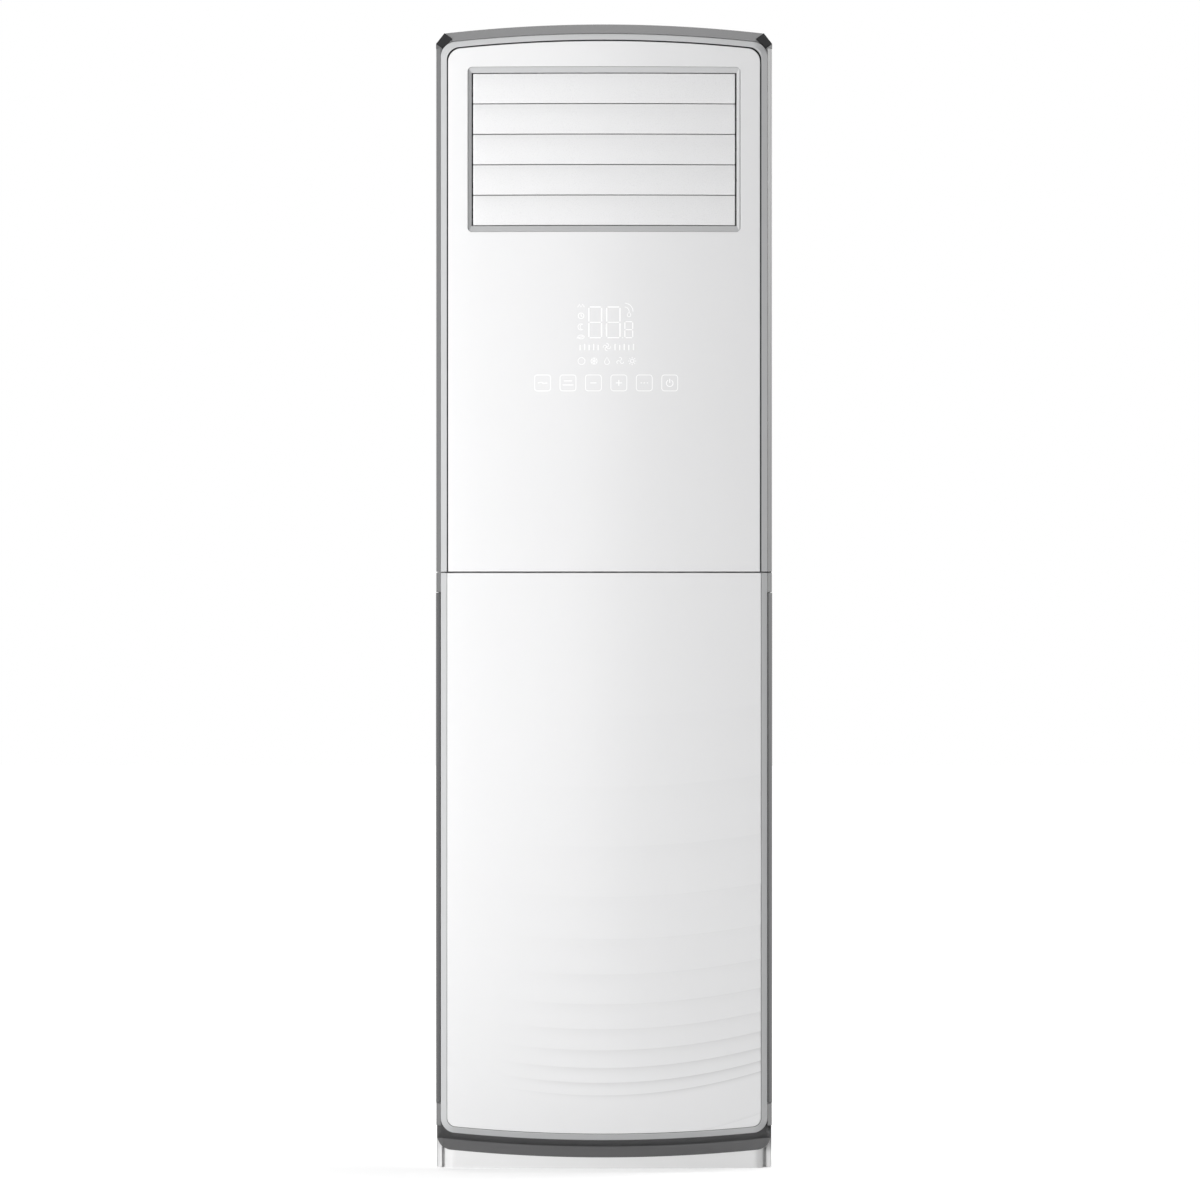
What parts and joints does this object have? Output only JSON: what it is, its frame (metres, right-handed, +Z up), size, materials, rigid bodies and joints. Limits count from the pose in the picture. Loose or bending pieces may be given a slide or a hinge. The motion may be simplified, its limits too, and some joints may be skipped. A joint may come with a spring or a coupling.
{
  "type": "floor standing air conditioner",
  "caption": "Upright cabinet air conditioner with a bowed front, tilting outlet louvres, swinging side intake grilles, a centrifugal blower and an inclined coil.",
  "frame": {"origin": "on the floor under the middle of the cabinet's box", "axes": "+Z up, the front faces -Y, +X to the viewer's right"},
  "size_m": [0.5, 0.315, 1.7],
  "materials": {
    "white_gloss": "smooth gloss",
    "silver_trim": "silver paint, satin gloss",
    "grey_trim": "grey metallic paint",
    "dark_trim": "dark grey, satin",
    "dark_insert": "near black, satin",
    "white_steel": "powder coat, fine texture",
    "zinc_steel": "galvanised sheet",
    "screw_steel": "zinc plated",
    "rubber": "matte",
    "black_plastic": "moulded, matte",
    "grille_grey": "moulded, fine texture",
    "filter_net": "woven net in a plastic frame",
    "inner_plastic": "moulded, matte",
    "motor_can": "plated can",
    "fin_aluminium": "rolled foil fins",
    "copper": "drawn copper tube",
    "hose_plastic": "flexible hose",
    "board_green": "solder resist",
    "lens": "milky diffuser"
  },
  "bodies": {
    "cabinet": {"upper_front_frame": "silver_trim", "lower_front_frame": "silver_trim", "upper_front_panel": "white_gloss", "lower_front_panel": "white_gloss", "outlet_surround": "white_gloss", "top_cover": "grey_trim", "corner_inserts": "dark_insert", "upper_side_trims": "grey_trim", "lower_side_trims": "grey_trim", "foot_trim": "dark_trim", "base_pan": "white_steel", "side_panel_right": "white_steel", "side_panel_left": "white_steel", "back_panel": "zinc_steel", "screws": "screw_steel", "pipe_grommet": "rubber", "cable_gland": "black_plastic", "louvre_motor": "motor_can", "air_duct": "inner_plastic", "vane_motor": "motor_can", "partition": "zinc_steel", "chamber_cover": "zinc_steel", "blower_housing_rear": "black_plastic", "blower_housing_front": "black_plastic", "motor_bracket": "zinc_steel", "motor_mounts": "rubber", "fan_motor": "motor_can", "coil_fins": "fin_aluminium", "coil_end_plates": "zinc_steel", "coil_bends": "copper", "gas_pipe": "copper", "liquid_pipe": "copper", "drain_pan": "black_plastic", "drain_hose": "hose_plastic", "control_box": "zinc_steel", "control_box_cover": "zinc_steel", "main_board": "board_green", "terminal_block": "black_plastic", "display_board": "board_green", "display_lens": "lens", "touch_pads": "rubber"},
    "fan_rotor": {"fan_wheel": "black_plastic", "fan_shaft": "screw_steel"},
    "grille_left": {"side_grille_left": "grille_grey", "air_filter_left": "filter_net"},
    "grille_right": {"side_grille_right": "grille_grey", "air_filter_right": "filter_net"},
    "louvre_bar": {"louvre_link_bar": "inner_plastic"},
    "vane_bar": {"vane_link_bar": "inner_plastic"},
    "louvre_blade_1": {"louvre_1": "white_gloss"},
    "louvre_blade_2": {"louvre_2": "white_gloss"},
    "louvre_blade_3": {"louvre_3": "white_gloss"},
    "louvre_blade_4": {"louvre_4": "white_gloss"},
    "louvre_blade_5": {"louvre_5": "white_gloss"},
    "vane_blade_1": {"vane_1": "inner_plastic"},
    "vane_blade_2": {"vane_2": "inner_plastic"},
    "vane_blade_3": {"vane_3": "inner_plastic"},
    "vane_blade_4": {"vane_4": "inner_plastic"},
    "vane_blade_5": {"vane_5": "inner_plastic"},
    "vane_blade_6": {"vane_6": "inner_plastic"}
  },
  "joints": [
    {"name": "louvre_1_tilt", "type": "hinge", "parent": "cabinet", "child": "louvre_blade_1", "pos_m": [0, -0.13759, 1.4228], "axis": [1, 0, 0], "range_deg": [0, 80]},
    {"name": "louvre_2_tilt", "type": "hinge", "parent": "cabinet", "child": "louvre_blade_2", "pos_m": [0, -0.13759, 1.468], "axis": [1, 0, 0], "range_deg": [0, 80]},
    {"name": "louvre_3_tilt", "type": "hinge", "parent": "cabinet", "child": "louvre_blade_3", "pos_m": [0, -0.13759, 1.5132], "axis": [1, 0, 0], "range_deg": [0, 80]},
    {"name": "louvre_4_tilt", "type": "hinge", "parent": "cabinet", "child": "louvre_blade_4", "pos_m": [0, -0.13759, 1.5584], "axis": [1, 0, 0], "range_deg": [0, 80]},
    {"name": "louvre_5_tilt", "type": "hinge", "parent": "cabinet", "child": "louvre_blade_5", "pos_m": [0, -0.13759, 1.6036], "axis": [1, 0, 0], "range_deg": [0, 80]},
    {"name": "louvre_bar_swing", "type": "hinge", "parent": "louvre_blade_1", "child": "louvre_bar", "pos_m": [-0.1983, -0.1291, 1.41431], "axis": [1, 0, 0], "range_deg": [-80, 0]},
    {"name": "vane_1_turn", "type": "hinge", "parent": "cabinet", "child": "vane_blade_1", "pos_m": [-0.16375, -0.08, 1.513], "axis": [0, 0, 1], "range_deg": [-40, 40]},
    {"name": "vane_2_turn", "type": "hinge", "parent": "cabinet", "child": "vane_blade_2", "pos_m": [-0.09825, -0.08, 1.513], "axis": [0, 0, 1], "range_deg": [-40, 40]},
    {"name": "vane_3_turn", "type": "hinge", "parent": "cabinet", "child": "vane_blade_3", "pos_m": [-0.03275, -0.08, 1.513], "axis": [0, 0, 1], "range_deg": [-40, 40]},
    {"name": "vane_4_turn", "type": "hinge", "parent": "cabinet", "child": "vane_blade_4", "pos_m": [0.03275, -0.08, 1.513], "axis": [0, 0, 1], "range_deg": [-40, 40]},
    {"name": "vane_5_turn", "type": "hinge", "parent": "cabinet", "child": "vane_blade_5", "pos_m": [0.09825, -0.08, 1.513], "axis": [0, 0, 1], "range_deg": [-40, 40]},
    {"name": "vane_6_turn", "type": "hinge", "parent": "cabinet", "child": "vane_blade_6", "pos_m": [0.16375, -0.08, 1.513], "axis": [0, 0, 1], "range_deg": [-40, 40]},
    {"name": "vane_bar_swing", "type": "hinge", "parent": "vane_blade_1", "child": "vane_bar", "pos_m": [-0.16375, -0.064, 1.396], "axis": [0, 0, 1], "range_deg": [-40, 40]},
    {"name": "fan_spin", "type": "hinge", "parent": "cabinet", "child": "fan_rotor", "pos_m": [0, 0, 0.35], "axis": [0, 1, 0], "continuous": true},
    {"name": "grille_left_swing", "type": "hinge", "parent": "cabinet", "child": "grille_left", "pos_m": [-0.245, -0.034, 0.476], "axis": [0, 0, -1], "range_deg": [0, 80]},
    {"name": "grille_right_swing", "type": "hinge", "parent": "cabinet", "child": "grille_right", "pos_m": [0.245, -0.034, 0.476], "axis": [0, 0, 1], "range_deg": [0, 80]}
  ],
  "couplings": [
    {"joint": "louvre_2_tilt", "follows": "louvre_1_tilt", "ratio": 1},
    {"joint": "louvre_3_tilt", "follows": "louvre_1_tilt", "ratio": 1},
    {"joint": "louvre_4_tilt", "follows": "louvre_1_tilt", "ratio": 1},
    {"joint": "louvre_5_tilt", "follows": "louvre_1_tilt", "ratio": 1},
    {"joint": "louvre_bar_swing", "follows": "louvre_1_tilt", "ratio": -1},
    {"joint": "vane_2_turn", "follows": "vane_1_turn", "ratio": 1},
    {"joint": "vane_3_turn", "follows": "vane_1_turn", "ratio": 1},
    {"joint": "vane_4_turn", "follows": "vane_1_turn", "ratio": 1},
    {"joint": "vane_5_turn", "follows": "vane_1_turn", "ratio": 1},
    {"joint": "vane_6_turn", "follows": "vane_1_turn", "ratio": 1},
    {"joint": "vane_bar_swing", "follows": "vane_1_turn", "ratio": -1}
  ]
}
